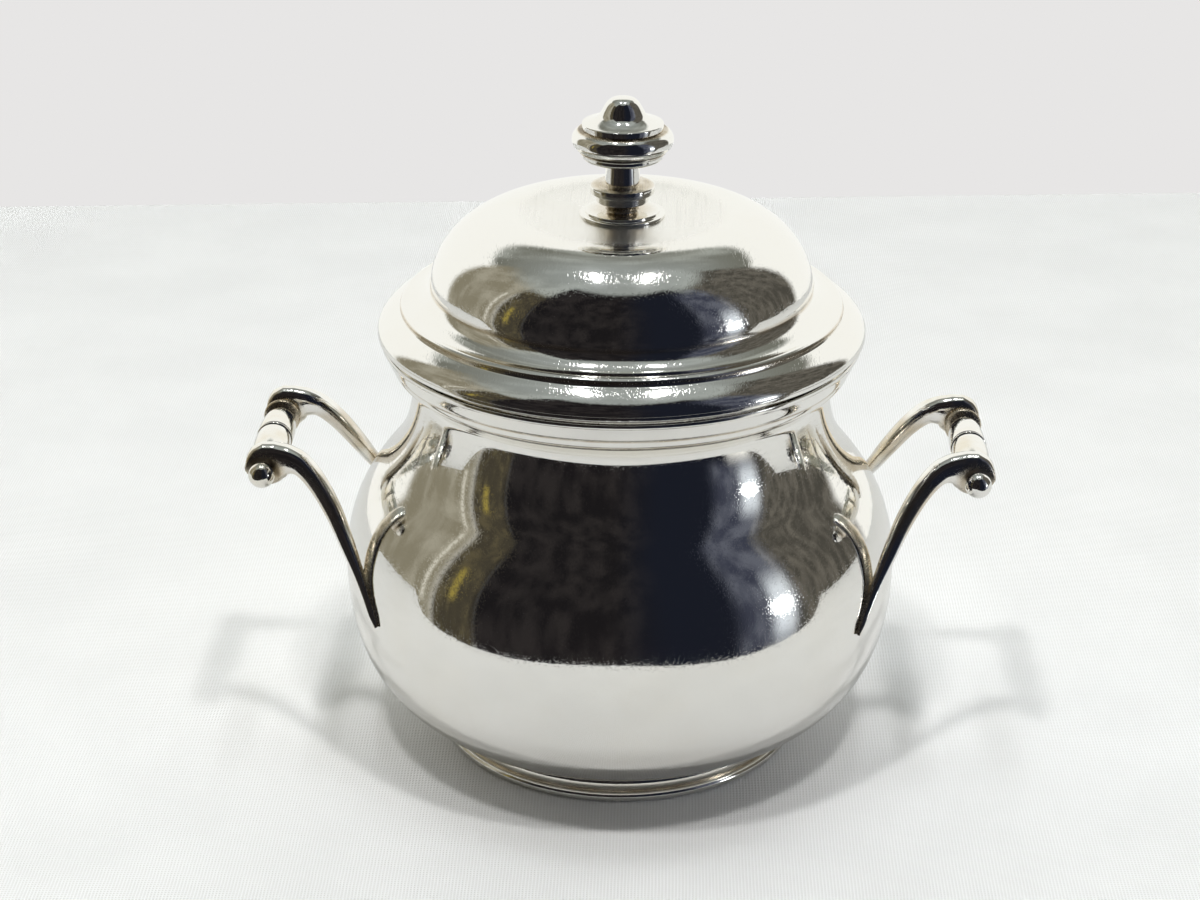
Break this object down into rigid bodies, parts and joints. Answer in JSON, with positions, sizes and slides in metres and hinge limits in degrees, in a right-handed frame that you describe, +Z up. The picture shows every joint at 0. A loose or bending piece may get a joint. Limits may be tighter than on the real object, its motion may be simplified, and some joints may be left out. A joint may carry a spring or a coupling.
{
  "type": "covered sugar bowl",
  "caption": "Covered metal sugar bowl: round belly on a low foot, two strap handles with turned grips, and a domed lift-off lid with a turned finial.",
  "frame": {"origin": "centre of the foot on the surface that the bowl stands on", "axes": "+Z up through the finial, +X to the right-hand handle, +Y to the back"},
  "size_m": [0.146, 0.1104, 0.1322],
  "materials": {
    "silver_body": "polished silver with fine scratches",
    "silver_lid": "polished silver with swirl marks",
    "silver_handle": "polished silver with warm tarnish in the corners",
    "silver_trim": "polished silver, light tarnish in the grooves",
    "silver_inner": "satin silver",
    "brass_fixing": "dull brass thread"
  },
  "bodies": {
    "bowl": {"bowl": "silver_body", "mouth_moulding": "silver_body", "foot_ring": "silver_body", "foot_wire": "silver_trim", "left_front_arm": "silver_handle", "left_back_arm": "silver_handle", "left_grip": "silver_handle", "left_front_ball": "silver_handle", "left_back_ball": "silver_handle", "right_front_arm": "silver_handle", "right_back_arm": "silver_handle", "right_grip": "silver_handle", "right_front_ball": "silver_handle", "right_back_ball": "silver_handle"},
    "lid": {"lid": "silver_lid", "lid_edge_band": "silver_lid", "lid_flange": "silver_inner", "finial_plate": "silver_trim", "finial_stem": "silver_trim", "finial_knob_base": "silver_trim", "finial_knob": "silver_trim", "finial_stud": "brass_fixing", "finial_washer": "silver_inner", "finial_nut": "brass_fixing"}
  },
  "joints": [
    {"name": "lid_lift", "type": "slide", "parent": "bowl", "child": "lid", "axis": [0, 0, 1], "range_m": [0, 0.1]}
  ]
}
